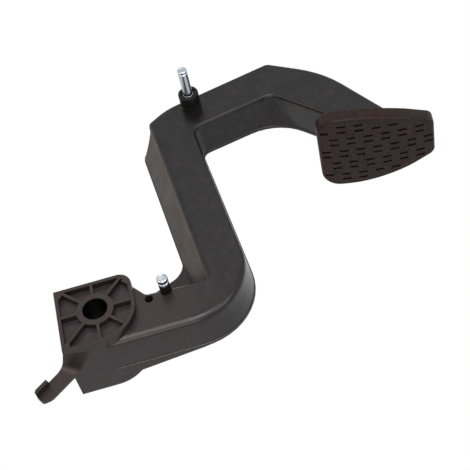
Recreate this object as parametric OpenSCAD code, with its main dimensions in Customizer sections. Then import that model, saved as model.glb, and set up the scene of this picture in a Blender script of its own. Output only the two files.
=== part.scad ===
// Clutch pedal: a moulded S-shaped arm with a pivot hub, two steel pins and a rubber foot pad.
// Millimetres. The origin is on the pivot axis at the hub's lower end face, and +Z is the pivot axis.

/* [Hub] */
// Length of the hub along the pivot axis
hub_h = 58; // [48:1:70]
// Diameter of the pivot bore
bore_d = 19; // [12:0.5:20]
// Wall of the ring round the bore
ring_wall = 4.7; // [3:0.1:6]
// Distance from the pivot axis to the hub's left side
hub_left = 28.9; // [27:0.1:34]
// Distance from the pivot axis to the hub's back side
hub_back = 25.7; // [24:0.1:32]
// Radius of the round that turns the hub's front side into its right side
hub_arc_r = 30; // [26:0.5:30]
// Radius of the hub's back right corner
hub_corner_r = 10; // [4:0.5:12]
// Thickness of the hub's outer wall
hub_wall = 2.8; // [2:0.1:4]
// Thickness of the radial ribs
hub_rib = 2.3; // [1.5:0.1:4]
// Number of radial ribs
hub_ribs = 8; // [4:1:10]
// Depth of the pockets in the upper face
pocket_depth = 5; // [3:0.5:6]
// Thickness of the floor between the upper and the lower pockets
pocket_floor = 3; // [2:0.5:6]
// Side of the solid gussets in the hub's corners
gusset = 8; // [4:0.5:12]

/* [Arm] */
// Height of the hub's upper face above the arm's top face
hub_rise = 6.5; // [3:0.5:10]
// Depth of the arm from its top face to its rim
arm_depth = 33.5; // [28:0.5:38]
// Extra depth of the arm where it meets the hub
root_drop = 7; // [2:0.5:8]
// Distance from the pivot axis to the flat front side
front_y = 30.65; // [30:0.05:34]
// Distance from the pivot axis to the outer side of the lower bend
reach = 121.4; // [112:0.2:130]
// Lean of the middle limb
mid_lean = 4.5; // [2:0.5:8]
// Width of the middle limb
mid_w = 33.4; // [28:0.2:38]
// Width of the lower limb
low_w = 35; // [31:0.5:38]
// Radius of the lower bend's outer side
bend_r = 50; // [30:1:56]
// Distance from the pivot axis to the bay corner between the middle and the upper limb
bay_y = 161.6; // [150:0.2:175]
// Radius of the bay corner
bay_r = 9; // [4:0.5:12]
// Slope of the upper limb
top_slope = 11.6; // [8:0.2:14]
// Width of the upper limb
top_w = 35.8; // [30:0.2:40]
// Radius of the crest corner between the upper and the dropping limb
crest_r = 14; // [8:1:20]
// Length of the upper limb's front side
top_len = 74; // [66:0.5:82]
// Slope of the front side of the limb that drops to the pad
drop_slope = 47.2; // [44:0.2:52]
// Slope of the back side of the limb that drops to the pad
drop_back_slope = 59.8; // [57:0.2:63]
// Width of the dropping limb where it meets the pad, along the pad
foot_w = 32.8; // [28:0.5:36]
// Thickness of the arm's walls
wall = 3.3; // [2.5:0.1:4]
// Width of the flare along the middle limb's left side
left_flare = 12; // [6:0.5:13]
// Step of the rim band round the arm's lower edge
rim_step = 0.6; // [0.2:0.1:1.5]
// Height of the rim band
rim_h = 2.5; // [1.5:0.1:5]
// Width of the soft rounding along the front edge
front_round = 7; // [3:0.5:8]
// Width of the rounding along the other top edges
edge_round = 3.2; // [1.5:0.1:4]
// Height of the rounding along the top edges
round_h = 4.5; // [2:0.5:6]
// Radius of the web in the inner bend
web_r = 17.8; // [10:0.5:22]
// Thickness of the web in the inner bend
web_t = 3; // [2:0.5:5]
// Thickness of the ribs inside the arm
arm_rib = 2.4; // [1.6:0.1:4]
// Distance of those ribs above the arm's rim
rib_gap = 3; // [1:0.5:6]

/* [Lever] */
// Direction of the switch lever seen from above
lever_dir = 217; // [205:1:230]
// Distance from the pivot axis to the lever's tip
lever_reach = 69.8; // [62:0.5:80]
// Width of the lever
lever_w = 11.8; // [8:0.2:14]
// Sideways offset of the lever's middle line from the pivot axis
lever_side = 1.7; // [-2:0.1:3]
// Thickness of the lever
lever_t = 3.5; // [3:0.5:6]
// How far the lever's tip runs on past its lip
lever_tip = 1.2; // [0.4:0.1:2]
// Height of the lever's flat above the hub's lower face
lever_z = 27.5; // [20:0.5:32]
// Radius of the sweep from the hub into the lever
sweep_r = 9; // [5:0.5:14]
// Height of the lip at the lever's tip
lip_h = 5.5; // [3:0.5:8]
// Thickness of the lip
lip_t = 3.2; // [2:0.1:5]
// Length of the lip
lip_len = 11.8; // [6:0.5:14]

/* [Pins] */
// Diameter of the long pin
long_d = 8; // [6:0.5:9]
// Height of the long pin above the arm's top face
long_up = 41; // [30:0.5:50]
// Distance of the long pin from the bay corner along the upper limb
long_along = 9.9; // [4:0.1:16]
// Distance of the long pin from the upper limb's back side
long_back = 9.5; // [9:0.1:14]
// Outside diameter of the collar round the long pin
collar_d = 17; // [13:0.5:20]
// Height of the collar above the arm's top face
collar_h = 14.5; // [10:0.5:18]
// Height of the round boss under the collar
collar_up = 4.3; // [2:0.1:6]
// Diameter of the short pin
short_d = 8.4; // [6:0.2:9]
// Height of the short pin above the arm's top face
short_up = 16; // [10:0.5:22]
// Distance of the short pin from the pivot axis along the lower limb
short_x = 53.8; // [46:0.2:60]
// Distance of the short pin from the lower limb's back side
short_in = 2.2; // [1.5:0.1:6]
// Depth of the pins in the arm
pin_seat = 22; // [14:0.5:26]
// Diameter of the small hole
hole_d = 6.5; // [4:0.1:8]
// Distance of the small hole from the pivot axis along the lower limb
hole_x = 40; // [38.5:0.1:44]
// Distance of the small hole from the lower limb's back side
hole_in = 6.4; // [5:0.1:12]

/* [Pad] */
// Length of the pad along the foot
pad_len = 97.3; // [88:0.1:104]
// Height of the pad's left part
pad_h = 76.2; // [66:0.2:80]
// Height of the pad at its right end
pad_right_h = 36.6; // [30:0.2:46]
// Distance from the pad's left end to where its height starts to fall
pad_wide_at = 53.9; // [44:0.1:60]
// Radius of the pad's left corners
pad_left_r = 15; // [8:0.5:20]
// Radius of the pad's right corners
pad_right_r = 7; // [5:0.5:12]
// Radius of the long curve in the pad's upper and lower edges
pad_long_r = 124; // [60:1:130]
// Thickness of the pad
pad_t = 12; // [11:0.5:15]
// Crown of the pad's face
pad_crown = 3.5; // [2:0.1:5]
// Turn of the pad seen from above
pad_yaw = 8.2; // [5:0.1:12]
// Distance from the pivot axis to the pad's left end along the lower limb
pad_x = 199.1; // [196:0.1:204]
// Distance from the pivot axis to the pad's left end along the middle limb
pad_y = 109; // [104:0.2:114]
// Radius of the pad's face edge
pad_round = 3; // [1.5:0.5:4]
// Thickness of the foot plate inside the pad
plate_t = 4.5; // [3:0.5:5]
// Rubber in front of the foot plate
pad_skin = 5; // [4:0.5:6]
// Rubber round the foot plate
pad_side = 3.5; // [2.5:0.5:5]
// Width of the rubber lip behind the foot plate
pad_lip = 5; // [3:0.5:8]
// Length of one dash in the tread
dash_len = 7.4; // [4:0.2:8]
// Width of one dash
dash_w = 1.4; // [0.8:0.1:2]
// Depth of one dash
dash_depth = 1; // [0.5:0.1:1.5]
// Distance between the two dashes of a pair
pair_gap = 6.1; // [4:0.1:6.5]
// Distance between the rows of pairs
row_pitch = 13.8; // [12:0.1:16]
// Distance between the pairs in a row
pair_pitch = 13.85; // [11:0.05:16]
// Distance from the pad's left end to the first dash's middle
tread_start = 7.1; // [6.5:0.1:10]

/* [Hidden] */
$fn = 96;
// A reach that runs past any face it has to cut
past = 200;
// A small step that a cut runs past a flat face
eps = 1;

arm_top = hub_h - hub_rise;
shoulder = arm_top - round_h;
rim_z = arm_top - arm_depth;
rim_top = rim_z + rim_h;
// What a pin's pressed shank has over its free end
shank_more = 0.3;
mid_z = (arm_top + rim_z) / 2 - 0.6;
ring_r = bore_d / 2 + ring_wall;

// Plan geometry: lines as a point and a direction in degrees
function heading(a) = [cos(a), sin(a)];
function right_of(a) = [sin(a), -cos(a)];
function cross2(a, b) = a[0] * b[1] - a[1] * b[0];
function meet(p, a, q, b) = p + heading(a) * cross2(q - p, heading(b)) / cross2(heading(a), heading(b));
function turn(a, b) = let (t = (b - a) % 360) t > 180 ? t - 360 : t < -180 ? t + 360 : t;

// Corner points of the arm that its sizes give
low_back_dir = 176.6;
front_dir = 0;
right_dir = 90 + mid_lean;
bend_corner = [reach, -front_y];
bay_corner = meet(bend_corner, right_dir, [0, bay_y], 0);
crest = bay_corner + top_len * heading(top_slope);
drop_dir = -drop_slope;
pad_corner = [pad_x, pad_y];
pad_dir = -pad_yaw;
plate_mid = pad_corner + (pad_crown * 0.85 - pad_skin - plate_t / 2) * right_of(pad_dir);
foot_front = meet(crest, drop_dir, plate_mid, pad_dir);
foot_back = foot_front + foot_w * heading(pad_dir);
top_back = bay_corner - top_w * right_of(top_slope);
left_front = bend_corner - mid_w * right_of(right_dir);
low_back_x = 85;
low_back = [low_back_x, -front_y + low_w - 0.4];
shoulder_x = 38.5;
hub_shoulder = [shoulder_x, meet(low_back, low_back_dir, [shoulder_x, 0], 90)[1]];
slope_dir = 127;
back_turn = 146.1;
crest_back = crest + [7, 37.5];
cut_corner = top_back + [-23.5, -11.2];
cut_dir = 214.6;

// The arm's outline, run anticlockwise. Each row holds a point, a direction, the corner radius at its end,
// what the radius gains at the rim, the steps of the corner, the top rounding and the flare.
edges = [
    [[1, -front_y], front_dir, bend_r, -2, 12, front_round, 0],
    [bend_corner, right_dir, bay_r, 0, 5, edge_round, 2.5],
    [bay_corner, top_slope, crest_r, 33, 7, edge_round, 1],
    [crest, drop_dir, 2, 0, 1, edge_round, 0],
    [foot_front, pad_dir, 2, 0, 1, 0.5, 0],
    [foot_back, 180 - drop_back_slope, 100, 0, 5, edge_round, 1.5],
    [crest_back, back_turn, 8, 0, 4, edge_round, 1.5],
    [top_back, 180 + top_slope + 1, 55, 0, 4, edge_round, 1.5],
    [cut_corner, cut_dir, 3, 0, 2, edge_round, 1.5],
    [left_front, 180 + right_dir, 1.5, 0, 1, 5, left_flare],
    [low_back, low_back_dir, 2, 0, 1, edge_round, 6],
    [hub_shoulder, slope_dir, 1, 0, 1, edge_round, 3],
    [[1, hub_back - 4], 180, 1, 0, 1, 0.5, 0],
    [[1, 0], 270, 1, 0, 1, 0.5, 0]
];

function edge_off(e, round, flare, more) = more + e[6] * flare - e[5] * round;
function corner_at(i, round, flare, more) =
    let (
        a = edges[i],
        b = edges[(i + 1) % len(edges)],
        p = a[0] + edge_off(a, round, flare, more) * right_of(a[1]),
        q = b[0] + edge_off(b, round, flare, more) * right_of(b[1])
    )
    meet(p, a[1], q, b[1]);
function corner_arc(i, round, flare, more) =
    let (
        a = edges[i],
        b = edges[(i + 1) % len(edges)],
        t = turn(a[1], b[1]),
        side = sign(t),
        grow = (edge_off(a, round, flare, more) + edge_off(b, round, flare, more)) / 2,
        r = max(0.3, a[2] + a[3] * flare + side * grow),
        start = corner_at(i, round, flare, more) - r * tan(abs(t) / 2) * heading(a[1]),
        centre = start - side * r * right_of(a[1])
    )
    [for (k = [0:a[4]]) centre + side * r * right_of(a[1] + t * k / a[4])];
// One closed ring of the outline, drawn in by the rounding, out by the flare and out by a fixed step
function outline(round, flare, more) =
    [for (i = [0:len(edges) - 1]) each corner_arc(i, round, flare, more)];

// A solid through rings of equally many points: each ring is a list of plan points and a height
module loft(rings) {
    n = len(rings[0][0]);
    last = len(rings) - 1;
    points = [for (r = rings) for (p = r[0]) [p[0], p[1], r[1]]];
    sides = [for (k = [0:last - 1]) for (i = [0:n - 1])
        [k * n + i, (k + 1) * n + i, (k + 1) * n + (i + 1) % n, k * n + (i + 1) % n]];
    bottom = [[for (i = [0:n - 1]) i]];
    top = [[for (i = [n - 1:-1:0]) last * n + i]];
    polyhedron(points = points, faces = concat(bottom, sides, top), convexity = 10);
}

// The flare starts below the shoulder and bends out more and more towards the rim
flare_steps = 5;
round_steps = 4;
flare_bend = 1.35;
flare_top = shoulder - 3;
function flare_ring(t, more) = [outline(0, pow(t, flare_bend), more), flare_top - t * (flare_top - rim_top)];

module arm_outer() {
    rim_rings = [
        [outline(0, 1, rim_step), rim_z - root_drop - eps],
        [outline(0, 1, rim_step), rim_top - 0.3]
    ];
    flare_rings = [for (k = [flare_steps:-1:0]) flare_ring(k / flare_steps, 0)];
    round_rings = [for (k = [0:round_steps - 1]) round_ring(90 * k / round_steps)];
    // The last facets run on a little past the top face, which is then cut flat
    near_top = 90 * (round_steps - 1) / round_steps;
    over = 1.5;
    over_in = 1 - cos(near_top) + over * cos(near_top);
    over_up = sin(near_top) + over * (1 - sin(near_top));
    over_ring = [outline(over_in, 0, 0), shoulder + round_h * over_up];
    difference() {
        loft(concat(rim_rings, flare_rings, round_rings, [over_ring]));
        rim_cut();
        translate([-past, -past, arm_top])
            cube([3 * past, 3 * past, past]);
    }
}

function round_ring(a) = [outline(1 - cos(a), 0, 0), shoulder + round_h * sin(a)];

// The arm's lower edge runs level from the bend on, and falls towards the hub
module rim_cut() {
    level_x = 76;
    root_x = 23;
    low = rim_z - root_drop * (level_x + past) / (level_x - root_x);
    translate([0, past * 1.5, 0])
        rotate([90, 0, 0])
            linear_extrude(past * 2)
                polygon([[-past, low - past], [-past, low], [level_x, rim_z], [2 * past, rim_z],
                    [2 * past, low - past]]);
}

// One level of the hollow below the arm's top skin, with or without the ribs left standing
module hollow(low, high, flare, ribs) {
    translate([0, 0, low])
        linear_extrude(high - low)
            difference() {
                polygon(outline(0, pow(flare, flare_bend), -wall));
                hub_outline();
                if (ribs)
                    arm_ribs();
                if (ribs)
                    pin_bosses();
            }
}

module arm_hollow() {
    deep = flare_top - rim_top;
    low_high = rim_top + deep * 0.25;
    mid_high = rim_top + deep * 0.6;
    hollow(-past / 4, rim_z + rib_gap, 0.75, false);
    hollow(rim_z + rib_gap - 0.01, low_high, 0.75, true);
    hollow(low_high - 0.01, mid_high, 0.4, true);
    hollow(mid_high - 0.01, arm_top - wall, 0, true);
}

// Zigzag ribs between two side lines, from one end of a limb to the other
module zigzag(from, to, width, count) {
    run = to - from;
    along = run / norm(run);
    across = [-along[1], along[0]];
    pitch = norm(run) / count;
    for (i = [0:count - 1]) {
        side = i % 2 == 0 ? 1 : -1;
        a = from + along * pitch * i + across * width / 2 * side;
        b = from + along * pitch * (i + 1) - across * width / 2 * side;
        rib(a, b);
    }
}

module rib(a, b) {
    run = b - a;
    translate(a)
        rotate(atan2(run[1], run[0]))
            translate([-arm_rib / 2, -arm_rib / 2])
                square([norm(run) + arm_rib, arm_rib]);
}

// Middle lines of the limbs, for the ribs
mid_low = meet(bend_corner - mid_w / 2 * right_of(right_dir), right_dir, [0, -8], 0);
mid_high = meet(bend_corner - mid_w / 2 * right_of(right_dir), right_dir, [0, bay_y + 8], 0);
top_start = bay_corner - top_w / 2 * right_of(top_slope);
top_end = top_start + (top_len - 2) * heading(top_slope);
foot_mid = (foot_front + foot_back) / 2;
root_mid = [hub_arc_r + 6, -front_y + low_w / 2];

module arm_ribs() {
    zigzag(root_mid, [mid_low[0] - 12, root_mid[1]], low_w + 14, 2);
    zigzag(mid_low + [0, 8], mid_high, mid_w + 14, 4);
    zigzag(top_start + [4, 2], top_end, top_w + 6, 2);
    zigzag(top_end, foot_mid, foot_w, 2);
}

module pin_bosses() {
    pin_boss(long_at, collar_d / 2);
    pin_boss(short_at, short_d / 2 + 2.5);
    pin_boss(hole_at, hole_d / 2 + 2.2);
}

module pin_boss(at, r) {
    translate(at)
        circle(r = r);
}

// The web that fills the inner bend at rim level, with one hollow curve towards the open bay
web_dir = 200.7;
left_rim = left_front + left_flare * right_of(180 + right_dir);
web_corner = meet(left_rim, 180 + right_dir, [hub_arc_r - 2, hub_back - 2.2], web_dir);
module web() {
    t = turn(180 + right_dir, web_dir);
    start = web_corner - web_r * tan(abs(t) / 2) * heading(180 + right_dir);
    centre = start + web_r * right_of(180 + right_dir);
    arc = [for (k = [0:10]) centre - web_r * right_of(180 + right_dir + t * k / 10)];
    translate([0, 0, rim_top - web_t])
        linear_extrude(web_t)
            polygon(concat([start - 30 * heading(180 + right_dir)], arc,
                [[hub_arc_r - 6, hub_back - 5], [hub_arc_r - 6, 0], [low_back[0], 0],
                start + [15, 0], start + [15, 30]]));
}

module hub_outline() {
    difference() {
        translate([-hub_left, -front_y])
            square([hub_left + hub_arc_r, front_y + hub_back]);
        translate([hub_arc_r, hub_back])
            rotate(180)
                corner_bite(hub_corner_r);
        translate([hub_arc_r, -front_y])
            rotate(90)
                corner_bite(hub_arc_r);
    }
}

// What a round corner leaves out of a square one
module corner_bite(r) {
    difference() {
        translate([-eps, -eps])
            square(r + eps);
        translate([r, r])
            circle(r = r, $fn = 128);
    }
}

module hub_pocket_outline() {
    difference() {
        translate([-hub_left + hub_wall, -front_y + hub_wall])
            square([hub_left + hub_arc_r - 2 * hub_wall, front_y + hub_back - 2 * hub_wall]);
        translate([hub_arc_r - hub_wall, hub_back - hub_wall])
            rotate(180)
                corner_bite(hub_corner_r - hub_wall);
        translate([hub_arc_r - hub_wall, -front_y + hub_wall])
            rotate(90)
                corner_bite(hub_arc_r - hub_wall);
        circle(r = ring_r);
        for (i = [0:hub_ribs - 1])
            rotate(i * 360 / hub_ribs)
                translate([0, -hub_rib / 2])
                    square([past, hub_rib]);
        translate([-hub_left + hub_wall, -front_y + hub_wall])
            rotate(45)
                square([gusset, gusset / 2], center = true);
        translate([-hub_left + hub_wall, hub_back - hub_wall])
            rotate(45)
                square(gusset, center = true);
        translate([hub_arc_r - hub_wall, hub_back - hub_wall])
            rotate(45) {
                square([gusset, 2 * gusset], center = true);
                translate([-0.75 * gusset, -gusset])
                    square(gusset);
            }
    }
}

// The hub's front left corner is hollowed in a sweep that runs out along the lever
sweep_dir = 233;
sweep_top = 30.3;
sweep_slope = 2.67;
module sweep_cut(shift) {
    angle = atan(sweep_slope);
    under = hub_h - pocket_depth - 2;
    drop = under - lever_z - sweep_r * (1 - cos(angle));
    foot = sweep_top + drop / sweep_slope;
    centre = [foot + sweep_r * sin(angle), lever_z + sweep_r];
    arc = [for (k = [0:8]) centre + sweep_r * [-sin(angle * (1 - k / 8)), -cos(angle * (1 - k / 8))]];
    rotate([0, 0, sweep_dir])
        translate([shift, past / 2, 0])
            rotate([90, 0, 0])
                linear_extrude(past)
                    polygon(concat([[sweep_top, under]], arc,
                        [[past, lever_z], [past, hub_h - 2.5], [sweep_top + 12, hub_h - 2.5]]));
}

module lever_outline() {
    root = hub_left - 6;
    end = lever_reach;
    polygon([
        [root, 0], [end - lever_tip, 0], [end + 0.7 * lever_tip, 0.12 * lever_w],
        [end + 1.3 * lever_tip, 0.6 * lever_w], [end + 0.9 * lever_tip, 0.73 * lever_w],
        [end - lever_tip, 0.84 * lever_w],
        [end - 3 * lever_tip, 0.95 * lever_w], [end - 5.2 * lever_tip, lever_w], [root, lever_w]
    ]);
}

module lever_blank() {
    rotate([0, 0, lever_dir])
        translate([0, lever_side - lever_w / 2, lever_z - lever_t])
            linear_extrude(hub_h - hub_rise - lever_z)
                lever_outline();
}

module lever_lip() {
    rotate([0, 0, lever_dir])
        translate([0, lever_side - lever_w / 2, lever_z - lever_t / 2])
            linear_extrude(lip_h + lever_t / 2)
                intersection() {
                    lever_outline();
                    translate([lever_reach - lip_len, -eps])
                        square([2 * lip_len, lip_t + eps]);
                }
}

module hub_solid() {
    difference() {
        union() {
            linear_extrude(hub_h)
                hub_outline();
            lever_blank();
        }
        sweep_cut(0);
    }
    lever_lip();
}

module hub_pockets() {
    translate([0, 0, hub_h - pocket_depth])
        linear_extrude(pocket_depth + eps)
            hub_pocket_outline();
    difference() {
        translate([0, 0, -eps])
            linear_extrude(hub_h - pocket_depth - pocket_floor + eps)
                hub_pocket_outline();
        sweep_cut(-hub_wall);
    }
}

// The pad's own frame: u along the pad, w along the pivot axis, v out of its face
pad_half = [
    [0, 0], [1.8, pad_h / 2], [pad_wide_at, pad_h / 2 + 0.2], [pad_len - 2.2, pad_right_h / 2], [pad_len, 0]
];
pad_corner_r = [0, pad_left_r, pad_long_r, pad_right_r, 0];
pad_steps = [0, 6, 6, 5, 0];
function face_v(u) = pad_crown * (1 - pow((u - pad_len / 2) / (pad_len / 2), 2));
function dir_of(p, q) = atan2(q[1] - p[1], q[0] - p[0]);
function in_from(p, q, d) = p + d * right_of(dir_of(p, q));
function half_corner(i, d) =
    let (a = dir_of(pad_half[i - 1], pad_half[i]), b = dir_of(pad_half[i], pad_half[i + 1]))
    meet(in_from(pad_half[i - 1], pad_half[i], d), a, in_from(pad_half[i], pad_half[i + 1], d), b);
function half_arc(i, d) =
    let (
        a = dir_of(pad_half[i - 1], pad_half[i]),
        b = dir_of(pad_half[i], pad_half[i + 1]),
        t = turn(a, b),
        r = max(1, pad_corner_r[i] - d),
        start = half_corner(i, d) - r * tan(abs(t) / 2) * heading(a),
        centre = start + r * right_of(a)
    )
    [for (k = [0:pad_steps[i]]) centre - r * right_of(a + t * k / pad_steps[i])];
// Upper half of the pad's outline from its left to its right end, drawn in by d
function pad_upper(d) = [for (i = [1:3]) each half_arc(i, d)];

module pad_solid(levels) {
    n = len(pad_upper(0));
    m = 2 * n;
    last = len(levels) - 1;
    rings = [for (l = levels)
        let (up = pad_upper(l[0]))
        concat([for (p = up) [p[0], face_v(p[0]) + l[1], p[1]]],
            [for (i = [n - 1:-1:0]) [up[i][0], face_v(up[i][0]) + l[1], -up[i][1]]])];
    points = [for (r = rings) for (p = r) p];
    sides = [for (k = [0:last - 1]) for (i = [0:m - 1])
        [k * m + i, (k + 1) * m + i, (k + 1) * m + (i + 1) % m, k * m + (i + 1) % m]];
    front = [for (i = [0:n - 2])
        [last * m + i, last * m + m - 1 - i, last * m + m - 2 - i, last * m + i + 1]];
    back = [for (i = [0:n - 2]) [i, i + 1, m - 2 - i, m - 1 - i]];
    translate([pad_x, pad_y, mid_z])
        rotate([0, 0, pad_dir])
            mirror([0, 1, 0])
                polyhedron(points = points, faces = concat(back, sides, front), convexity = 10);
}

module plate_solid() {
    pad_solid([[pad_side, -pad_skin - plate_t], [pad_side, -pad_skin]]);
}

module pedal_arm() {
    color([0.3, 0.29, 0.29])
        difference() {
            union() {
                arm_outer();
                hub_solid();
                web();
                plate_solid();
                translate([short_at[0], short_at[1], rim_top - web_t])
                    cylinder(r = short_d / 2 + 2.4, h = arm_top - rim_top + web_t - 3);
                translate([long_at[0], long_at[1], arm_top - 2])
                    cylinder(d = collar_d, h = collar_up + 2);
            }
            hub_pockets();
            arm_hollow();
            translate([0, 0, -eps])
                cylinder(d = bore_d, h = hub_h + 2 * eps);
            translate([long_at[0], long_at[1], arm_top - pin_seat])
                cylinder(r = long_d / 2 + shank_more, h = past);
            translate([short_at[0], short_at[1], arm_top - pin_seat])
                cylinder(r = short_d / 2 + shank_more, h = past);
            translate([hole_at[0], hole_at[1], -past / 2])
                cylinder(d = hole_d, h = past);
        }
}

long_at = bay_corner + long_along * heading(top_slope) - (top_w - long_back) * right_of(top_slope);
short_at = [short_x, meet(low_back, low_back_dir, [short_x, 0], 90)[1] - short_in];
hole_at = [hole_x, meet(low_back, low_back_dir, [hole_x, 0], 90)[1] - hole_in];

// A turned pin: a slightly thicker shank up to one height, a free end with a groove below its head
module turned_pin(d, low, shank_top, high, chamfer, groove_at) {
    r = d / 2;
    shank = r + shank_more;
    rotate_extrude()
        polygon([[0, low], [shank - 0.5, low], [shank, low + 0.5], [shank, shank_top], [r, shank_top],
            [r, high - groove_at - 1.2], [r - 0.6, high - groove_at - 0.8], [r - 0.6, high - groove_at + 0.8],
            [r, high - groove_at + 1.2], [r, high - chamfer], [r - chamfer, high], [0, high]]);
}

module long_pin() {
    color([0.82, 0.84, 0.86])
        translate([long_at[0], long_at[1], 0])
            turned_pin(long_d, arm_top - pin_seat, arm_top + collar_h, arm_top + long_up, 0.8, 2.6);
}

module short_pin() {
    color([0.8, 0.83, 0.87])
        translate([short_at[0], short_at[1], 0])
            turned_pin(short_d, arm_top - pin_seat, arm_top, arm_top + short_up, 0.8, 4);
}

module pin_collar() {
    color([0.08, 0.08, 0.08])
        translate([long_at[0], long_at[1], arm_top + collar_up])
            difference() {
                cylinder(d = collar_d, h = collar_h - collar_up);
                translate([0, 0, -eps])
                    cylinder(r = long_d / 2 + shank_more, h = collar_h + 2 * eps);
                translate([0, 0, collar_h - collar_up - 1.5])
                    cylinder(d = long_d + 3.4, h = 1.5 + eps);
            }
}

// One engraved dash of the tread, centred at u along the pad and at height w
module dash(u, w) {
    translate([pad_x, pad_y, mid_z])
        rotate([0, 0, pad_dir])
            translate([u - dash_len / 2, -face_v(u) - eps, w - dash_w / 2])
                cube([dash_len, dash_depth + eps, dash_w]);
}

rows = 2;
tread_edge = 6;
// Height of the pad's outline above its middle line at a distance from the left end
function half_height(u) =
    let (
        a = half_corner(1, 0), b = half_corner(2, 0), c = half_corner(3, 0), r = pad_left_r,
        bend = pad_long_r * tan(abs(turn(dir_of(a, b), dir_of(b, c))) / 2),
        line = u < b[0] ? a[1] : b[1] + (u - b[0]) * (c[1] - b[1]) / (c[0] - b[0]),
        curve = a[1] - pow(u - b[0] + bend, 2) / (2 * pad_long_r)
    )
    u < r ? a[1] - r + sqrt(r * r - pow(r - u, 2)) : abs(u - b[0]) < bend ? curve : line;
module tread() {
    for (row = [-rows:rows]) {
        shift = row % 2 == 0 ? 0 : pair_pitch / 2;
        for (i = [0:floor((pad_len - tread_start - shift) / pair_pitch)]) {
            u = tread_start + shift + i * pair_pitch;
            for (side = [-1, 1]) {
                w = row * row_pitch + side * pair_gap / 2;
                if (u + dash_len / 2 < pad_len - 2 && abs(w) < half_height(u) - tread_edge)
                    dash(u, w);
            }
        }
    }
}

module pedal_pad() {
    color([0.22, 0.19, 0.18])
        difference() {
            pad_solid([
                [0.6, -pad_t],
                [0, -pad_t + 0.8],
                [0, -pad_round],
                [pad_round * (1 - cos(45)), -pad_round * (1 - sin(45))],
                [pad_round, 0]
            ]);
            plate_solid();
            pad_solid([[pad_side + pad_lip, -pad_t - eps], [pad_side + pad_lip, -pad_skin - plate_t / 2]]);
            tread();
        }
}

pedal_arm();
pedal_pad();
long_pin();
pin_collar();
short_pin();
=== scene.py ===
"""Dresses the clutch pedal: moulded nylon arm, rubber foot pad, zinc-plated pins and the rubber collar."""

import math

import bmesh
import bpy
from mathutils import Matrix, Vector


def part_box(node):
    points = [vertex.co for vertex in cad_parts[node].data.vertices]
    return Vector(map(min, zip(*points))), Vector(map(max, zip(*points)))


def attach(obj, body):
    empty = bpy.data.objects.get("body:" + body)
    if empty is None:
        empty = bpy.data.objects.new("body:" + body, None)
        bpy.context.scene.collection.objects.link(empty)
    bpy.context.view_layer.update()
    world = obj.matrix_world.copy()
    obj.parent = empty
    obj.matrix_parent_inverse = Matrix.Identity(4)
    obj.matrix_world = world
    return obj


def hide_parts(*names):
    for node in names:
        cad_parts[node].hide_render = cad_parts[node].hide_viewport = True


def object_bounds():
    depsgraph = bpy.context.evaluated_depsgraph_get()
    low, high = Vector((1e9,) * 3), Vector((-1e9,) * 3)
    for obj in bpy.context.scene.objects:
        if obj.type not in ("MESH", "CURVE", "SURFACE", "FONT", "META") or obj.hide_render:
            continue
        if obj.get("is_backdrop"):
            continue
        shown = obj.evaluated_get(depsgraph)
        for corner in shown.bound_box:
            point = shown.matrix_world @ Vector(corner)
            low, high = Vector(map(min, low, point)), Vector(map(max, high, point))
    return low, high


bl_info = {
    "name": "Clutch Pedal",
    "version": (1, 0, 0),
    "blender": (4, 5, 0),
    "location": "View3D > Sidebar > Pedal",
    "description": "Builds the dressed clutch pedal, its finishes and its photo stage",
    "category": "Object",
}

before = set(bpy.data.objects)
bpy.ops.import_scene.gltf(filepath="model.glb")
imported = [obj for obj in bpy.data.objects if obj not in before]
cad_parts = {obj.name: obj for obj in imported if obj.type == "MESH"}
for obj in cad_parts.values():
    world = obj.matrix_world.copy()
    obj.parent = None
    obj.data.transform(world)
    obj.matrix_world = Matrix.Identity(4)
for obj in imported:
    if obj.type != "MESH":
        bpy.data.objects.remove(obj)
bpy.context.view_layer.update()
BODY = "root"
MM = 0.001
# Two points or heights that differ by less than this are the same
CLOSE = 0.005 * MM


# Helpers


def srgb(hex_code):
    """A colour written as sRGB hex, turned to Blender's linear values."""
    values = [int(hex_code[i : i + 2], 16) / 255 for i in (1, 3, 5)]
    linear = [v / 12.92 if v <= 0.04045 else ((v + 0.055) / 1.055) ** 2.4 for v in values]
    return (*linear, 1.0)


def object_from(bm, name):
    """An object made from a bmesh, which is freed, and linked to the scene."""
    mesh = bpy.data.meshes.new(name)
    bm.to_mesh(mesh)
    bm.free()
    made = bpy.data.objects.new(name, mesh)
    bpy.context.scene.collection.objects.link(made)
    return made


def new_piece(name, bm, material, node):
    """Makes a piece from a bmesh in the place of a CAD node, and lets it ride on the part's body."""
    piece = object_from(bm, name)
    piece.data.materials.append(material)
    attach(piece, BODY)
    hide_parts(node)
    return piece


def smooth_by_angle(bm, degrees):
    """Smooth shading everywhere but over edges sharper than the angle."""
    limit = math.radians(degrees)
    for face in bm.faces:
        face.smooth = True
    for edge in bm.edges:
        sharp = len(edge.link_faces) == 2 and edge.calc_face_angle(0) > limit
        edge.smooth = not sharp


def flat_regions(bm, degrees):
    """Groups of neighbouring triangles that lie in one plane, to within the angle."""
    limit = math.radians(degrees)
    remaining = set(bm.faces)
    regions = []
    for seed in bm.faces:
        if seed not in remaining:
            continue
        remaining.discard(seed)
        region, to_visit = [seed], [seed]
        while to_visit:
            for edge in to_visit.pop().edges:
                for near in edge.link_faces:
                    if near in remaining and near.normal.angle(seed.normal) < limit:
                        remaining.discard(near)
                        region.append(near)
                        to_visit.append(near)
        regions.append(region)
    return regions


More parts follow.
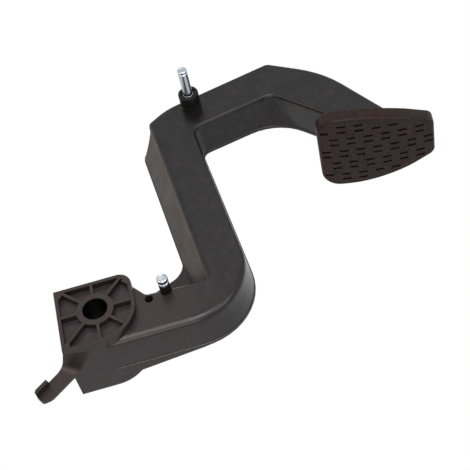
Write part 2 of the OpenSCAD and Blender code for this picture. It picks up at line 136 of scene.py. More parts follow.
def copy_of_node(node_name):
    """The CAD node's mesh as a bmesh, its loose triangles merged and its flat faces made whole.

    A flat face with a hole in it stays in triangles, because one polygon can't hold it.
    """
    bm = bmesh.new()
    bm.from_mesh(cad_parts[node_name].data)
    bmesh.ops.remove_doubles(bm, verts=bm.verts, dist=CLOSE)
    bm.normal_update()
    for region in flat_regions(bm, degrees=0.3):
        verts = {vert for face in region for vert in face.verts}
        edges = {edge for face in region for edge in face.edges}
        without_holes = len(verts) - len(edges) + len(region) == 1
        if len(region) > 1 and without_holes:
            bmesh.ops.dissolve_faces(bm, faces=region)
    bm.normal_update()
    return bm


def node_axis(name):
    """A turned node's axis in plan, its lowest height, its highest height and its radius."""
    low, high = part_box(name)
    return ((low.x + high.x) / 2, (low.y + high.y) / 2), low.z, high.z, (high.x - low.x) / 2


def direction(azimuth, elevation):
    """The way from the pedal to a place round it; azimuth 0 is in front of it and 90 at its right."""
    turn, rise = math.radians(azimuth), math.radians(elevation)
    return Vector((math.sin(turn) * math.cos(rise), -math.cos(turn) * math.cos(rise), math.sin(rise)))


# Settings


def size_property(name, description, millimetres):
    """A length that a user can change, given in millimetres and kept in metres."""
    return bpy.props.FloatProperty(
        name=name, description=description, default=millimetres * MM, unit="LENGTH", precision=4
    )


def colour_property(name, description, hex_code):
    """A colour that a user can change, given as sRGB hex and kept linear."""
    return bpy.props.FloatVectorProperty(
        name=name, description=description, default=srgb(hex_code), size=4, min=0, max=1, subtype="COLOR"
    )


def power_property(name, description, watts):
    """A lamp's power that a user can change."""
    return bpy.props.FloatProperty(name=name, description=description, default=watts, unit="POWER")


class PedalFinish(bpy.types.PropertyGroup):
    arm_colour: colour_property("Arm", "Colour of the moulded arm", "#1e1b1c")
    scuff_colour: colour_property("Scuffs", "Colour of the scuffs on the arm", "#3d3a39")
    # Dust: painted light from above, lightening the upward faces round the hub
    hub_top_light_colour: colour_property("Dust", "Colour of the dust on top of the hub", "#3a3033")
    # Film: painted warm light on the arm's left-facing wall, away from the hub
    left_wall_light_colour: colour_property("Film", "Colour of the film on the arm's left wall", "#40372f")
    pad_colour: colour_property("Pad", "Colour of the pad's rubber", "#271612")
    collar_colour: colour_property("Collar", "Colour of the collar's rubber", "#0c0b0b")
    plating_colour: colour_property("Plating", "Colour of the zinc on the pins", "#b0b6bd")
    arm_roughness: bpy.props.FloatProperty(
        name="Arm roughness", description="How matt the moulded arm is", default=0.27, min=0.2, max=0.8
    )
    edge_width: size_property("Edge rounding", "Width of the small rounding on the moulding's edges", 0.35)


class PedalPad(bpy.types.PropertyGroup):
    length: size_property("Length", "Length of the pad", 97.3)
    height: size_property("Height", "Height of the pad at its left end", 76.2)
    right_height: size_property("Right height", "Height of the pad at its right end", 36.6)
    wide_at: size_property("Bend", "Where its long edges bend, from the left end", 53.9)
    swell: size_property("Swell", "How much further out each long edge is at its bend", 0.2)
    left_slant: size_property("Left slant", "How far the left corners lie to the right of the end", 1.8)
    right_slant: size_property("Right slant", "How far the right corners lie to the left of the end", 2.2)
    left_radius: size_property("Left corners", "Radius of the left corners", 15.0)
    long_radius: size_property("Long bends", "Radius of the bends in the long edges", 124.0)
    right_radius: size_property("Right corners", "Radius of the right corners", 7.0)
    thickness: size_property("Thickness", "Thickness of the pad", 12.0)
    crown: size_property("Crown", "How far the face's middle stands out", 3.5)
    edge_radius: size_property("Edge", "Radius of the face's edge", 2.2)
    back_radius: size_property("Back edge", "Radius of the back's edge", 0.8)
    skin: size_property("Skin", "Rubber in front of the foot plate", 5.0)
    plate: size_property("Plate", "Thickness of the foot plate in the pad", 4.5)
    side: size_property("Side", "Rubber beside the foot plate", 3.5)
    lip: size_property("Lip", "Rubber lip behind the foot plate", 5.0)
    dash_length: size_property("Dash length", "Length of an engraved dash", 7.4)
    dash_width: size_property("Dash width", "Width of an engraved dash", 2.1)
    dash_depth: size_property("Dash depth", "Depth of an engraved dash", 1.9)
    pair_gap: size_property("Pair gap", "Distance between the two dashes of a pair", 6.1)
    row_pitch: size_property("Row pitch", "Distance between two rows of pairs", 13.8)
    pair_pitch: size_property("Pair pitch", "Distance between two pairs of a row", 13.85)
    first_pair: size_property("First pair", "Where the first pair stands, from the left end", 7.1)
    long_margin: size_property("Long margin", "Plain band along the long edges", 6.0)
    end_margin: size_property("End margin", "Plain band at the right end", 2.0)
    rows: bpy.props.IntProperty(name="Rows", description="Rows above and below the middle one", default=2)
    yaw: bpy.props.FloatProperty(
        name="Yaw",
        description="Turn of the pad about the pivot's direction",
        default=math.radians(8.2),
        unit="ROTATION",
    )
    corner: bpy.props.FloatVectorProperty(
        name="Place",
        description="Middle of the pad's left end",
        default=(199.1 * MM, 109.0 * MM, 34.15 * MM),
        subtype="TRANSLATION",
    )


class PedalPins(bpy.types.PropertyGroup):
    long_radius: size_property("Long pin", "Radius of the long pin", 4.0)
    long_foot: size_property("Long pin's foot", "Height of the top of its thicker foot", 65.2)
    long_groove: size_property("Long pin's groove", "From its end to the middle of its groove", 2.6)
    short_radius: size_property("Short pin", "Radius of the short pin", 4.2)
    short_foot: size_property("Short pin's foot", "Height of the top of its thicker foot", 50.7)
    short_groove: size_property("Short pin's groove", "From its end to the middle of its groove", 4.0)
    foot_step: size_property("Foot step", "How much wider a foot's radius is than its pin's", 0.3)
    foot_chamfer: size_property("Foot chamfer", "Chamfer at the foot's lower end", 0.5)
    groove_depth: size_property("Groove depth", "Depth of the grooves", 0.6)
    groove_width: size_property("Groove width", "Width of a groove's floor", 1.6)
    groove_slope: size_property("Groove slope", "Width of a groove's sloped sides", 0.4)
    head_chamfer: size_property("Head chamfer", "Chamfer round a pin's end", 0.8)
    dish_depth: size_property("Dish", "How deep the middle of a pin's end is dished", 0.5)
    collar_bore: size_property("Collar's bore", "Radius of the collar's bore", 4.3)
    recess: size_property("Collar's recess", "Radius of the recess in the collar's top", 5.7)
    recess_depth: size_property("Recess depth", "Depth of the recess in the collar's top", 1.5)
    collar_rounding: size_property("Collar's rounding", "Rounding of the collar's edges", 0.8)


class PedalStage(bpy.types.PropertyGroup):
    top: power_property("Top light", "High lamp above and a little in front of the pedal", 8.0)
    back: power_property("Back light", "High lamp behind the pedal", 0.8)
    front: power_property("Front light", "Lamp in front, for the walls", 3.5)
    right: power_property("Right light", "Lamp at the front right, for the outer corner", 4.5)
    left: power_property("Left light", "Warm lamp from the front left, for the left wall", 3.6)
    left_tint: colour_property("Left tint", "Colour of the warm lamp", "#ffdcb4")
    sky: bpy.props.FloatProperty(
        name="Surround", description="Strength of the even light all round", default=0.03
    )


# Materials


def add_node(tree, kind, inputs=None, **settings):
    """Adds a shader node, sets its properties, and links or sets its inputs.

    An input given as a node takes that node's first output.
    """
    node = tree.nodes.new(kind)
    for key, value in settings.items():
        setattr(node, key, value)
    for socket, value in (inputs or {}).items():
        source = value.outputs[0] if isinstance(value, bpy.types.Node) else value
        if isinstance(source, bpy.types.NodeSocket):
            tree.links.new(source, node.inputs[socket])
        else:
            node.inputs[socket].default_value = source
    return node


def start_material(name):
    """A new material with its node tree, its shader and its Texture Coordinate node."""
    material = bpy.data.materials.new(name)
    material.use_nodes = True
    tree = material.node_tree
    return material, tree, tree.nodes["Principled BSDF"], add_node(tree, "ShaderNodeTexCoord")


def scale_for(millimetres):
    """The scale of a noise whose patches are about this far apart."""
    return 1 / (millimetres * MM)


def layered(tree, tone, layers):
    """The tone with other colours laid over it, each as far as its mask says."""
    for mask, colour in layers:
        # A Mix node of colours takes them at inputs 6 and 7 and gives them at output 2
        mix = add_node(tree, "ShaderNodeMix", {0: mask, 6: tone, 7: colour}, data_type="RGBA")
        tone = mix.outputs[2]
    return tone


def ray_mask(tree, kinds):
    """1 for rays of the given kinds and 0 for all others."""
    path = add_node(tree, "ShaderNodeLightPath")
    mask = path.outputs[kinds[0]]
    for kind in kinds[1:]:
        mask = add_node(
            tree, "ShaderNodeMath", {0: mask, 1: path.outputs[kind]}, operation="MAXIMUM"
        ).outputs[0]
    return mask


def nylon_masks(tree, coordinates, cloud, scuffs):
    """Where the arm is patchy, scuffed, warmer near the hub, painted lighter on top round the hub, painted
    with warm light on its left wall, or painted dark inside the bore.
    """
    place, normal = coordinates.outputs["Object"], coordinates.outputs["Normal"]
    height = add_node(tree, "ShaderNodeSeparateXYZ", {"Vector": place}).outputs["Z"]
    facing = add_node(tree, "ShaderNodeSeparateXYZ", {"Vector": normal}).outputs
    in_plan = add_node(tree, "ShaderNodeVectorMath", {0: place, 1: (1, 1, 0)}, operation="MULTIPLY")
    from_axis = add_node(tree, "ShaderNodeVectorMath", {0: in_plan}, operation="LENGTH").outputs["Value"]
    from_hub = add_node(tree, "ShaderNodeVectorMath", {0: place}, operation="LENGTH").outputs["Value"]
    masks = {}
    # Each mask's name, what it reads, where it starts, where it is full, and how full that is
    for name, value, start, full, most in (
        ("patchy", cloud, 0.3, 0.7, 1),
        ("scuffed", scuffs, 0.5, 0.75, 0.55),
        ("near_hub", from_hub, 110 * MM, 50 * MM, 1),
        ("off_hub", from_hub, 50 * MM, 80 * MM, 1),
        ("above_rim", height, 21 * MM, 24 * MM, 1),
        ("upward", facing["Z"], 0.6, 0.9, 1),
        ("leftward", facing["X"], -0.75, -0.95, 1),
        # painted shade: the inside of the bore is drawn near black
        ("shaded_bore", from_axis, 9.9 * MM, 9.6 * MM, 1),
    ):
        limits = {"Value": value, "From Min": start, "From Max": full, "To Max": most}
        masks[name] = add_node(tree, "ShaderNodeMapRange", limits)
    for name, first, second in (
        ("top_of_hub", "near_hub", "upward"),
        # painted light from above: the upward faces round the hub, above the rim
        ("lit_hub_top", "top_of_hub", "above_rim"),
        # painted warm light: the left-facing wall, away from the hub
        ("lit_left_wall", "leftward", "off_hub"),
    ):
        both = {0: masks[first], 1: masks[second]}
        masks[name] = add_node(tree, "ShaderNodeMath", both, operation="MULTIPLY")
    return masks


def moulded_nylon():
    """Glass-filled black nylon, moulded: satin and near black, with a fine grain.

    Handling has left pale scuffs a few millimetres across. The upward faces round the hub carry painted
    light from above, the left-facing wall carries painted warm light and is matter, and the inside of the
    bore carries painted shade.
    """
    finish = bpy.context.scene.pedal_finish
    material, tree, shader, coordinates = start_material("glass_filled_nylon")
    place = coordinates.outputs["Object"]
    cloud = add_node(tree, "ShaderNodeTexNoise", {"Vector": place, "Scale": scale_for(17), "Detail": 5})
    scuffs = add_node(
        tree,
        "ShaderNodeTexNoise",
        {"Vector": place, "Scale": scale_for(6), "Detail": 8, "Roughness": 0.7},
    )
    # The real grain is finer, and is drawn this coarse so that it shows
    grain = add_node(tree, "ShaderNodeTexNoise", {"Vector": place, "Scale": scale_for(1.4), "Detail": 3})
    masks = nylon_masks(tree, coordinates, cloud, scuffs)
    # The last of these colours is painted shade for the inside of the bore
    black, warm_black, bore_painted_shade = srgb("#131213"), srgb("#281d20"), srgb("#050404")
    tone = layered(
        tree,
        black,
        (
            (masks["patchy"], finish.arm_colour),
            (masks["scuffed"], finish.scuff_colour),
            (masks["near_hub"], warm_black),
            # painted light from above on the upward faces round the hub
            (masks["lit_hub_top"], finish.hub_top_light_colour),
            # painted warm light on the left-facing wall
            (masks["lit_left_wall"], finish.left_wall_light_colour),
            # painted shade inside the bore
            (masks["shaded_bore"], bore_painted_shade),
        ),
    )
    roughness = finish.arm_roughness
    satin = add_node(
        tree,
        "ShaderNodeMapRange",
        {"Value": masks["patchy"], "To Min": roughness - 0.05, "To Max": roughness + 0.08},
    )
    # The left-facing wall, with its painted warm light, is matter than the nylon by this much
    left_wall_matt_adds = 0.3
    rough = add_node(
        tree, "ShaderNodeMath", {0: masks["lit_left_wall"], 1: left_wall_matt_adds, 2: satin}, operation="MULTIPLY_ADD"
    )
    bump = add_node(tree, "ShaderNodeBump", {"Height": grain, "Strength": 0.45, "Distance": 0.2 * MM})
    tree.links.new(tone, shader.inputs["Base Color"])
    tree.links.new(rough.outputs[0], shader.inputs["Roughness"])
    tree.links.new(bump.outputs["Normal"], shader.inputs["Normal"])
    shader.inputs["IOR"].default_value = 1.5
    shader.inputs["Specular IOR Level"].default_value = 0.28
    return material


def pad_rubber():
    """Moulded rubber: a brownish black, matt, with worn patches and a coarse moulded grain."""
    finish = bpy.context.scene.pedal_finish
    material, tree, shader, coordinates = start_material("moulded_rubber")
    place = coordinates.outputs["Object"]
    cloud = add_node(
        tree,
        "ShaderNodeTexNoise",
        {"Vector": place, "Scale": scale_for(9), "Detail": 6, "Roughness": 0.65},
    )
    specks = add_node(tree, "ShaderNodeTexNoise", {"Vector": place, "Scale": scale_for(1.9), "Detail": 3})
    worn = add_node(tree, "ShaderNodeMapRange", {"Value": cloud, "From Min": 0.3, "From Max": 0.7})
    specked = add_node(
        tree, "ShaderNodeMapRange", {"Value": specks, "From Min": 0.5, "From Max": 0.72, "To Max": 0.5}
    )
    black, speck = srgb("#110907"), srgb("#4b342c")
    tone = layered(tree, black, ((worn, finish.pad_colour), (specked, speck)))
    bump = add_node(tree, "ShaderNodeBump", {"Height": specks, "Strength": 0.4, "Distance": 0.3 * MM})
    tree.links.new(tone, shader.inputs["Base Color"])
    tree.links.new(bump.outputs["Normal"], shader.inputs["Normal"])
    shader.inputs["Roughness"].default_value = 0.45
    shader.inputs["IOR"].default_value = 1.5
    shader.inputs["Specular IOR Level"].default_value = 0.18
    return material


def collar_rubber():
    """Smooth black rubber sleeve: near black, with a soft sheen."""
    material, tree, shader, coordinates = start_material("sleeve_rubber")
    place = coordinates.outputs["Object"]
    grain = add_node(tree, "ShaderNodeTexNoise", {"Vector": place, "Scale": scale_for(1.1), "Detail": 2})
    bump = add_node(tree, "ShaderNodeBump", {"Height": grain, "Strength": 0.15, "Distance": 0.1 * MM})
    tree.links.new(bump.outputs["Normal"], shader.inputs["Normal"])
    shader.inputs["Base Color"].default_value = bpy.context.scene.pedal_finish.collar_colour
    shader.inputs["Roughness"].default_value = 0.5
    shader.inputs["IOR"].default_value = 1.5
    shader.inputs["Specular IOR Level"].default_value = 0.2
    return material


def zinc_plate():
    """Bright zinc plate on turned steel: pale metal with fine turning marks.

    The short pin is drawn dark and rougher up to the ring below its groove: painted shade, standing in for
    the dark arm that its lower part reflects.
    """
    material, tree, shader, coordinates = start_material("zinc_plated_steel")
    place = coordinates.outputs["Object"]
    # A wave of scale 1 repeats every tau / 20 metres, and the turning marks every 0.35 mm
    scale = math.tau / 20 * scale_for(0.35)
    turned = add_node(
        tree,
        "ShaderNodeTexWave",
        {"Vector": place, "Scale": scale, "Distortion": 1.5},
        wave_type="BANDS",
        bands_direction="Z",
    )
    height = add_node(tree, "ShaderNodeSeparateXYZ", {"Vector": place}).outputs["Z"]
    # Painted shade: below this height the short pin is drawn dark, for the dark arm it reflects
    shade_up_to, unshaded_from = 60.0 * MM, 60.6 * MM
    plated = add_node(
        tree, "ShaderNodeMapRange", {"Value": height, "From Min": shade_up_to, "From Max": unshaded_from}
    )
    marks = add_node(tree, "ShaderNodeMapRange", {"Value": turned, "To Min": 0.16, "To Max": 0.26})
    shaded_roughness = 0.5
    rough = add_node(
        tree, "ShaderNodeMapRange", {"Value": plated, "To Min": shaded_roughness, "To Max": marks}
    )
    # painted shade for the short pin's lower part
    shaded_foot_colour = srgb("#2a2827")
    tone = layered(tree, shaded_foot_colour, ((plated, bpy.context.scene.pedal_finish.plating_colour),))
    bump = add_node(tree, "ShaderNodeBump", {"Height": turned, "Strength": 0.08, "Distance": 0.05 * MM})
    tree.links.new(tone, shader.inputs["Base Color"])
    tree.links.new(rough.outputs[0], shader.inputs["Roughness"])
    tree.links.new(bump.outputs["Normal"], shader.inputs["Normal"])
    shader.inputs["Metallic"].default_value = 1.0
    return material


# Arm


class PEDAL_OT_arm(bpy.types.Operator):
    """The moulded arm with its hub and switch lever, with small rounded edges"""

    bl_idname = "pedal.arm"
    bl_label = "Moulded arm"

    def execute(self, context):
        bm = copy_of_node("pedal_arm")
        smooth_by_angle(bm, degrees=28)
        piece = new_piece("moulded_arm", bm, moulded_nylon(), "pedal_arm")
        rounding = piece.modifiers.new("Edge rounding", "BEVEL")
        rounding.width = context.scene.pedal_finish.edge_width
        rounding.segments = 2
        rounding.limit_method = "ANGLE"
        rounding.angle_limit = math.radians(40)
        rounding.use_clamp_overlap = True
        rounding.miter_outer = "MITER_ARC"
        weighted = piece.modifiers.new("Flat faces stay flat", "WEIGHTED_NORMAL")
        weighted.keep_sharp = True
        weighted.weight = 100
        return {"FINISHED"}


# Foot pad


def crowned(bm, sizes):
    """Bends flat pad work to the pad's crown and takes it to its place on the arm."""
    middle = sizes.length / 2
    for vert in bm.verts:
        vert.co.y -= sizes.crown * (1 - ((vert.co.x - middle) / middle) ** 2)
    bmesh.ops.rotate(bm, verts=bm.verts, cent=(0, 0, 0), matrix=Matrix.Rotation(-sizes.yaw, 3, "Z"))
    bmesh.ops.translate(bm, verts=bm.verts, vec=sizes.corner)


def pad_outline(sizes):
    """The pad's outline before its corners are rounded: along the pad, across it, corner radius.

    The middle point of each end only leads the inset, and is dissolved after it.
    """
    upper = [
        (sizes.left_slant, sizes.height / 2, sizes.left_radius),
        (sizes.wide_at, sizes.height / 2 + sizes.swell, sizes.long_radius),
        (sizes.length - sizes.right_slant, sizes.right_height / 2, sizes.right_radius),
    ]
    lower = [(along, -across, radius) for along, across, radius in reversed(upper)]
    return [(0, 0, 0), *upper, (sizes.length, 0, 0), *lower]


def bevel(bm, parts, affect, offset, steps):
    """Rounds the edges or vertices, without a limit on the rounding where it overlaps."""
    bmesh.ops.bevel(
        bm,
        geom=parts,
        offset=offset,
        offset_type="OFFSET",
        segments=steps,
        profile=0.5,
        affect=affect,
        clamp_overlap=False,
        material=-1,
    )


def pad_face(sizes, inset, depth):
    """A bmesh of one flat face in the pad's outline, drawn in by inset, with its corners rounded.

    Its two short ends run straight between their rounded corners.
    """
    smallest_radius = 0.5 * MM
    bm = bmesh.new()
    corners = pad_outline(sizes)
    face = bm.faces.new([bm.verts.new((along, depth, across)) for along, across, _ in corners])
    bm.normal_update()
    if inset:
        ring = bmesh.ops.inset_individual(bm, faces=[face], thickness=inset, use_even_offset=True)
        bmesh.ops.delete(bm, geom=ring["faces"], context="FACES")
    for along, across, radius in corners:
        if not radius:
            continue
        corner = Vector((along, depth, across))
        vert = min(bm.verts, key=lambda each: (each.co - corner).length)
        before, after = [edge.other_vert(vert).co - vert.co for edge in vert.link_edges]
        turn = math.pi - before.angle(after)
        reach = max(radius - inset, smallest_radius) * math.tan(turn / 2)
        bevel(bm, [vert], "VERTICES", reach, steps=8)
    ends = [vert for vert in bm.verts if abs(vert.co.z) < CLOSE]
    bmesh.ops.dissolve_verts(bm, verts=ends)
    return bm


def pad_block(sizes, inset, front, back, front_edge=0.0, back_edge=0.0):
    """A flat block in the pad's outline, drawn in by inset, from one depth to another.

    It is cut across into slices, so that it can be crowned.
    """
    slices = 14
    bm = pad_face(sizes, inset, front)
    grown = bmesh.ops.extrude_face_region(bm, geom=bm.faces[:])
    far = [each for each in grown["geom"] if isinstance(each, bmesh.types.BMVert)]
    bmesh.ops.translate(bm, verts=far, vec=(0, back - front, 0))
    bmesh.ops.recalc_face_normals(bm, faces=bm.faces)
    for depth, radius, steps in ((front, front_edge, 5), (back, back_edge, 2)):
        if not radius:
            continue
        rim = [edge for edge in bm.edges if all(abs(vert.co.y - depth) < CLOSE for vert in edge.verts)]
        bevel(bm, rim, "EDGES", radius, steps)
    for cut in range(1, slices):
        bmesh.ops.bisect_plane(
            bm,
            geom=bm.verts[:] + bm.edges[:] + bm.faces[:],
            plane_co=(sizes.length * cut / slices, 0, 0),
            plane_no=(1, 0, 0),
        )
    return bm


def rounded_outline(sizes):
    """The pad's outline with its corners rounded, as points along and across the pad."""
    bm = pad_face(sizes, 0, 0)
    bm.faces.ensure_lookup_table()
    points = [(vert.co.x, vert.co.z) for vert in bm.faces[0].verts]
    bm.free()
    return points


def half_height(outline, along):
    """Half the pad's height at a distance from its left end, from its rounded outline."""
    best = 0.0
    for (start, start_height), (end, end_height) in zip(outline, outline[1:] + outline[:1]):
        if min(start, end) <= along <= max(start, end) and start != end:
            share = (along - start) / (end - start)
            best = max(best, start_height + (end_height - start_height) * share)
    return best


def tread_places(sizes, outline):
    """Where the dashes of the tread stand: pairs in rows, every other row shifted by half a pitch."""
    for row in range(-sizes.rows, sizes.rows + 1):
        first = sizes.first_pair + (sizes.pair_pitch / 2 if row % 2 else 0)
        for pair in range(int((sizes.length - first) / sizes.pair_pitch) + 1):
            along = first + pair * sizes.pair_pitch
            for side in (-1, 1):
                across = row * sizes.row_pitch + side * sizes.pair_gap / 2
                inside = abs(across) < half_height(outline, along) - sizes.long_margin
                if inside and along + sizes.dash_length / 2 < sizes.length - sizes.end_margin:
                    yield along, across


def tread_cutter(sizes):
    """Small blocks with round ends that engrave the dashes."""
    bm = bmesh.new()
    # The blocks stand out of the face by this much, and their ends are nearly half round
    proud = 0.6 * MM
    rounding = 0.42 * sizes.dash_width
    for along, across in tread_places(sizes, rounded_outline(sizes)):
        made = bmesh.ops.create_cube(bm, size=1.0)["verts"]
        bmesh.ops.scale(bm, verts=made, vec=(sizes.dash_length, sizes.dash_depth + proud, sizes.dash_width))
        bmesh.ops.translate(bm, verts=made, vec=(along, (sizes.dash_depth - proud) / 2, across))
        upright = {
            edge
            for vert in made
            for edge in vert.link_edges
            if abs(edge.verts[0].co.y - edge.verts[1].co.y) > CLOSE
        }
        bevel(bm, list(upright), "EDGES", rounding, steps=3)
    return bm


def carve(bm, cutters):
    """The bmesh after each cutter is taken out of it."""
    block = object_from(bm, "block")
    tools = [object_from(cutter, "cutter") for cutter in cutters]
    for tool in tools:
        cut = block.modifiers.new("cut", "BOOLEAN")
        cut.operation = "DIFFERENCE"
        cut.solver = "EXACT"
        cut.object = tool
    bpy.context.view_layer.update()
    carved = bmesh.new()
    carved.from_object(block, bpy.context.evaluated_depsgraph_get())
    for each in [block, *tools]:
        mesh = each.data
        bpy.data.objects.remove(each)
        bpy.data.meshes.remove(mesh)
    bmesh.ops.remove_doubles(carved, verts=carved.verts, dist=CLOSE)
    return carved


class PEDAL_OT_pad(bpy.types.Operator):
    """The rubber foot pad with its engraved dashes"""

    bl_idname = "pedal.pad"
    bl_label = "Foot pad"

    def execute(self, context):
        sizes = context.scene.pedal_pad
        plate_front, plate_back = sizes.skin, sizes.skin + sizes.plate
        # The mouth starts inside the plate's pocket and runs past the back, so that it cuts cleanly
        past_back = 1 * MM
        mouth_front, mouth_back = (plate_front + plate_back) / 2, sizes.thickness + past_back
        block = pad_block(sizes, 0, 0, sizes.thickness, sizes.edge_radius, sizes.back_radius)
        cutters = [
            pad_block(sizes, sizes.side, plate_front, plate_back),
            pad_block(sizes, sizes.side + sizes.lip, mouth_front, mouth_back),
            tread_cutter(sizes),
        ]
        for part in [block, *cutters]:
            crowned(part, sizes)
        bm = carve(block, cutters)
        smooth_by_angle(bm, degrees=40)
        piece = new_piece("foot_pad", bm, pad_rubber(), "pedal_pad")
        weighted = piece.modifiers.new("Flat faces stay flat", "WEIGHTED_NORMAL")
        weighted.keep_sharp = True
        return {"FINISHED"}


# Pins and collar


def rounded(profile, radius, steps=3):
    """The profile with each inner corner rounded, as far as its neighbours allow."""
    most_of_side = 0.4
    out = [profile[0]]
    for before, here, after in zip(profile, profile[1:], profile[2:]):
        corner = Vector(here)
        back, forward = Vector(before) - corner, Vector(after) - corner
        reach = min(radius, back.length * most_of_side, forward.length * most_of_side)
        start, end = corner + back.normalized() * reach, corner + forward.normalized() * reach
        for step in range(steps + 1):
            share = step / steps
            point = start.lerp(corner, share).lerp(corner.lerp(end, share), share)
            out.append(tuple(point))
    out.append(profile[-1])
    return out


def turned_piece(profile, axis, steps=64):
    """A solid turned round a vertical axis from points given as radius and height."""
    bm = bmesh.new()
    verts = [bm.verts.new((radius, 0, height)) for radius, height in profile]
    edges = [bm.edges.new(pair) for pair in zip(verts, verts[1:])]
    bmesh.ops.spin(
        bm,
        geom=verts + edges,
        cent=(0, 0, 0),
        axis=(0, 0, 1),
        dvec=(0, 0, 0),
        angle=math.tau,
        steps=steps,
        use_merge=True,
        use_duplicate=False,
    )
    bmesh.ops.remove_doubles(bm, verts=bm.verts, dist=CLOSE)
    bmesh.ops.recalc_face_normals(bm, faces=bm.faces)
    bmesh.ops.translate(bm, verts=bm.verts, vec=(*axis, 0))
    return bm


def pin_profile(sizes, low, top, radius, foot_top, groove):
    """Half a pin's section: a thicker foot, a groove below its end and a chamfered, dished end."""
    foot = radius + sizes.foot_step
    neck = radius - sizes.groove_depth
    groove_at = top - groove
    floor = sizes.groove_width / 2
    mouth = floor + sizes.groove_slope
    # The dish starts inside the chamfer and falls steeply at first
    dish_rim, rim_depth = 0.7 * MM, 0.4 * MM
    return [
        (0, low),
        (foot - sizes.foot_chamfer, low),
        (foot, low + sizes.foot_chamfer),
        (foot, foot_top),
        (radius, foot_top),
        (radius, groove_at - mouth),
        (neck, groove_at - floor),
        (neck, groove_at + floor),
        (radius, groove_at + mouth),
        (radius, top - sizes.head_chamfer),
        (radius - sizes.head_chamfer, top),
        (radius - sizes.head_chamfer - dish_rim, top - rim_depth),
        (0, top - sizes.dish_depth),
    ]


class PEDAL_OT_pins(bpy.types.Operator):
    """The long and the short zinc-plated pin"""

    bl_idname = "pedal.pins"
    bl_label = "Pins"

    def execute(self, context):
        sizes = context.scene.pedal_pins
        plate = zinc_plate()
        edge_rounding = 0.3 * MM
        for name, radius, foot_top, groove in (
            ("long_pin", sizes.long_radius, sizes.long_foot, sizes.long_groove),
            ("short_pin", sizes.short_radius, sizes.short_foot, sizes.short_groove),
        ):
            axis, low, top, _ = node_axis(name)
            profile = pin_profile(sizes, low, top, radius, foot_top, groove)
            bm = turned_piece(rounded(profile, edge_rounding), axis)
            smooth_by_angle(bm, degrees=30)
            new_piece(name + "_turned", bm, plate, name)
        return {"FINISHED"}


class PEDAL_OT_collar(bpy.types.Operator):
    """The black sleeve round the long pin"""

    bl_idname = "pedal.collar"
    bl_label = "Collar"

    def execute(self, context):
        sizes = context.scene.pedal_pins
        axis, low, high, outer = node_axis("pin_collar")
        recess_floor = high - sizes.recess_depth
        profile = [
            (sizes.collar_bore, low),
            (outer, low),
            (outer, high),
            (sizes.recess, high),
            (sizes.recess, recess_floor),
            (sizes.collar_bore, recess_floor),
        ]
        closed = rounded(profile, sizes.collar_rounding) + profile[:1]
        bm = turned_piece(closed, axis)
        smooth_by_angle(bm, degrees=35)
        new_piece("pin_sleeve", bm, collar_rubber(), "pin_collar")
        return {"FINISHED"}


# Stage


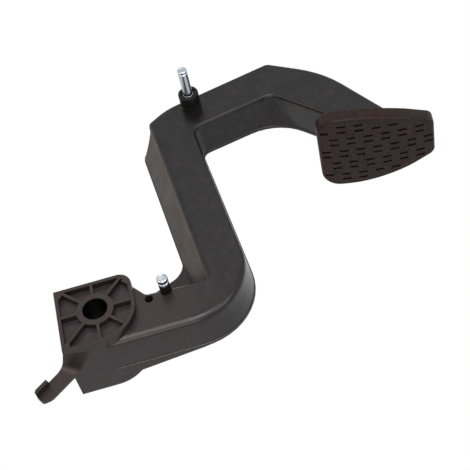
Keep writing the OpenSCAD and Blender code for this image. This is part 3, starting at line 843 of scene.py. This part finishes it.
class PEDAL_OT_stage(bpy.types.Operator):
    """Pale floor, soft studio light and the camera at the photograph's angle"""

    bl_idname = "pedal.stage"
    bl_label = "Stage"

    def execute(self, context):
        scene = context.scene
        settings = scene.pedal_stage
        self.floor()
        self.world(scene, settings.sky)
        white = srgb("#ffffff")
        for name, azimuth, elevation, power, colour in (
            ("top_lamp", 0, 72, settings.top, white),
            ("back_lamp", 170, 60, settings.back, white),
            ("front_lamp", 350, 32, settings.front, white),
            ("right_lamp", 50, 42, settings.right, white),
            ("left_lamp", 290, 34, settings.left, settings.left_tint),
        ):
            self.lamp(name, azimuth, elevation, power, colour)
        self.camera(scene)
        scene.view_settings.view_transform = "Standard"
        return {"FINISHED"}

    def floor(self):
        """A wide sheet under the part's lowest point."""
        half_width, middle = 4.0, (0.1, 0.1)
        bm = bmesh.new()
        bmesh.ops.create_grid(bm, x_segments=1, y_segments=1, size=half_width)
        bmesh.ops.translate(bm, verts=bm.verts, vec=(*middle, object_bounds()[0].z))
        floor = object_from(bm, "floor")
        floor.data.materials.append(self.floor_material())
        floor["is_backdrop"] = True

    def floor_material(self):
        """A white sheet: plain white to the camera and in reflections, with the object's soft shadow."""
        material = bpy.data.materials.new("white_sheet")
        material.use_nodes = True
        tree = material.node_tree
        shader = tree.nodes["Principled BSDF"]
        shader.inputs["Base Color"].default_value = srgb("#f4f4f4")
        shader.inputs["Roughness"].default_value = 0.9
        glow = add_node(tree, "ShaderNodeEmission", {"Strength": 1.0})
        seen = ray_mask(tree, ("Is Camera Ray", "Is Glossy Ray"))
        both = add_node(tree, "ShaderNodeMixShader", {0: seen, 1: shader, 2: glow})
        tree.links.new(both.outputs[0], tree.nodes["Material Output"].inputs["Surface"])
        return material

    def world(self, scene, strength):
        """A studio that looks plain white, and lights the pedal evenly at the given strength."""
        scene.world = bpy.data.worlds.new("studio")
        scene.world.use_nodes = True
        tree = scene.world.node_tree
        background = tree.nodes["Background"]
        background.inputs["Color"].default_value = (1, 1, 1, 1)
        seen = ray_mask(tree, ("Is Camera Ray", "Is Glossy Ray", "Is Transmission Ray"))
        level = add_node(tree, "ShaderNodeMapRange", {"Value": seen, "To Min": strength, "To Max": 1.0})
        tree.links.new(level.outputs["Result"], background.inputs["Strength"])

    def lamp(self, name, azimuth, elevation, power, colour):
        """A round soft lamp aimed at the pedal's middle."""
        middle, distance, width = Vector((0.12, 0.09, 0.03)), 1.3, 0.7
        outward = direction(azimuth, elevation)
        data = bpy.data.lights.new(name, "AREA")
        data.shape = "DISK"
        data.size = width
        data.energy = power
        data.color = colour[:3]
        lamp = bpy.data.objects.new(name, data)
        lamp.location = middle + outward * distance
        lamp.rotation_euler = outward.to_track_quat("Z", "Y").to_euler()
        bpy.context.scene.collection.objects.link(lamp)

    def camera(self, scene):
        """The photograph's camera, fitted to the pedal's outline in it."""
        azimuth, elevation, roll = -1.61, 49.94, math.radians(-14.52)
        distance, focal_px, image_px = 0.8649, 1142.1, 470
        sensor = 36.0
        target = Vector((0.11472, 0.03179, 0.058))
        back, right = direction(azimuth, elevation), direction(azimuth + 90, 0)
        level = Matrix((right, back.cross(right), back)).transposed()
        data = bpy.data.cameras.new("photo_camera")
        data.sensor_width = sensor
        data.lens = sensor * focal_px / image_px
        data.clip_start, data.clip_end = 0.01, 20
        camera = bpy.data.objects.new("photo_camera", data)
        turn = (level @ Matrix.Rotation(roll, 3, "Z")).to_4x4()
        camera.matrix_world = Matrix.Translation(target + back * distance) @ turn
        scene.collection.objects.link(camera)
        scene.camera = camera


# Add-on panel and registration


class PEDAL_PT_panel(bpy.types.Panel):
    """Lists the pedal's pieces and their settings"""

    bl_label = "Clutch Pedal"
    bl_idname = "PEDAL_PT_panel"
    bl_space_type = "VIEW_3D"
    bl_region_type = "UI"
    bl_category = "Pedal"

    def draw(self, context):
        column = self.layout.column()
        for key, group in GROUPS.items():
            for setting in group.__annotations__:
                column.prop(getattr(context.scene, key), setting)
        for step in STEPS:
            column.operator(step.bl_idname)


GROUPS = {
    "pedal_finish": PedalFinish,
    "pedal_pad": PedalPad,
    "pedal_pins": PedalPins,
    "pedal_stage": PedalStage,
}
STEPS = (PEDAL_OT_arm, PEDAL_OT_pad, PEDAL_OT_pins, PEDAL_OT_collar, PEDAL_OT_stage)
CLASSES = (*GROUPS.values(), *STEPS, PEDAL_PT_panel)


def register():
    for each in CLASSES:
        bpy.utils.register_class(each)
    for key, group in GROUPS.items():
        setattr(bpy.types.Scene, key, bpy.props.PointerProperty(type=group))


def unregister():
    for key in GROUPS:
        delattr(bpy.types.Scene, key)
    for each in reversed(CLASSES):
        bpy.utils.unregister_class(each)


def main():
    register()
    bpy.ops.pedal.arm()
    bpy.ops.pedal.pad()
    bpy.ops.pedal.pins()
    bpy.ops.pedal.collar()
    bpy.ops.pedal.stage()


if __name__ == "__main__":
    main()
